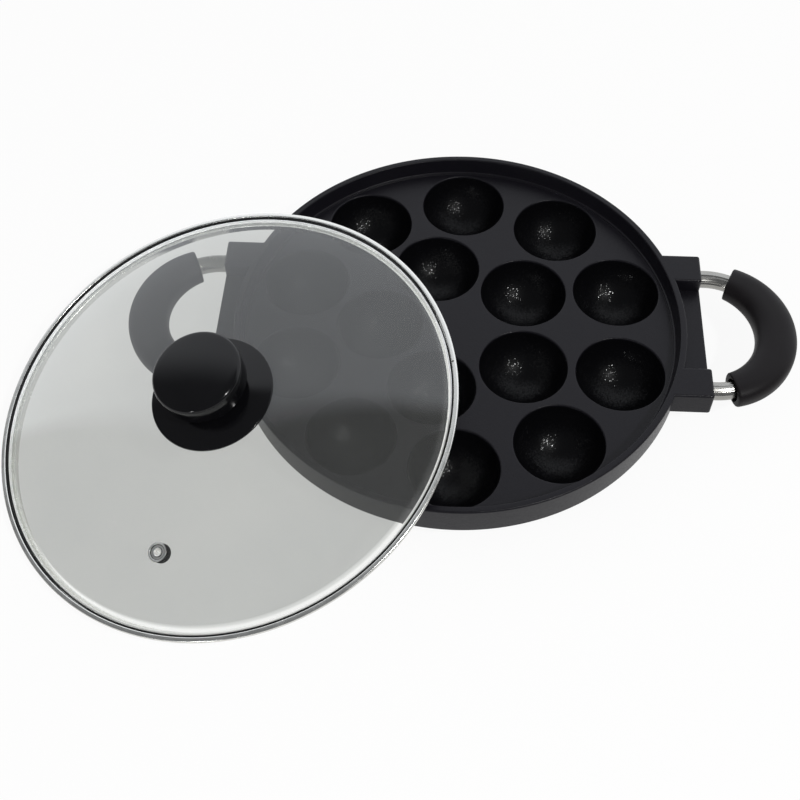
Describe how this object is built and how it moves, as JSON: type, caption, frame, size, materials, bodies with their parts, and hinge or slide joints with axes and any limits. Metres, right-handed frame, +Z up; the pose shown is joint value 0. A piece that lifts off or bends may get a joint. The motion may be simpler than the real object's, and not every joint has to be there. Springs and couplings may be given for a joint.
{
  "type": "takoyaki maker",
  "caption": "Round cast pan with half-round cups for ball dumplings, looped side handles with dark grips, and a loose domed glass lid with a dark knob that leans on the pan's side.",
  "frame": {"origin": "centre of the object's bounding box, on the table that the pan's feet stand on", "axes": "+X from the lid's side across the pan to the far handle, +Z up"},
  "size_m": [0.4154, 0.3038, 0.0786],
  "materials": {
    "cast_non_stick": "dark non-stick coating over cast aluminium, satin",
    "polished_steel": "polished stainless steel",
    "matt_bakelite": "moulded bakelite, matt",
    "gloss_bakelite": "moulded bakelite, gloss",
    "lid_glass": "clear tempered glass, polished",
    "black_rubber": "moulded silicone rubber, matt",
    "insert_brass": "turned"
  },
  "bodies": {
    "pan": {"pan_casting": "cast_non_stick", "handle_loop_left": "polished_steel", "handle_loop_right": "polished_steel", "handle_grip_left": "matt_bakelite", "handle_grip_right": "matt_bakelite", "grip_screw_left": "polished_steel", "grip_screw_right": "polished_steel", "loop_pin_left_front": "polished_steel", "loop_pin_left_back": "polished_steel", "loop_pin_right_front": "polished_steel", "loop_pin_right_back": "polished_steel"},
    "lid": {"lid_glass": "lid_glass", "lid_band": "polished_steel", "lid_seal": "black_rubber", "vent_eyelet": "polished_steel", "vent_washer": "polished_steel", "knob_head": "gloss_bakelite", "knob_guard": "gloss_bakelite", "knob_insert": "insert_brass", "knob_screw": "polished_steel", "knob_gasket_upper": "black_rubber", "knob_gasket_lower": "black_rubber", "knob_washer": "polished_steel"}
  },
  "joints": [
    {"name": "lid_lift", "type": "slide", "parent": "pan", "child": "lid", "axis": [0, 0, 1], "range_m": [0, 0.15]}
  ]
}
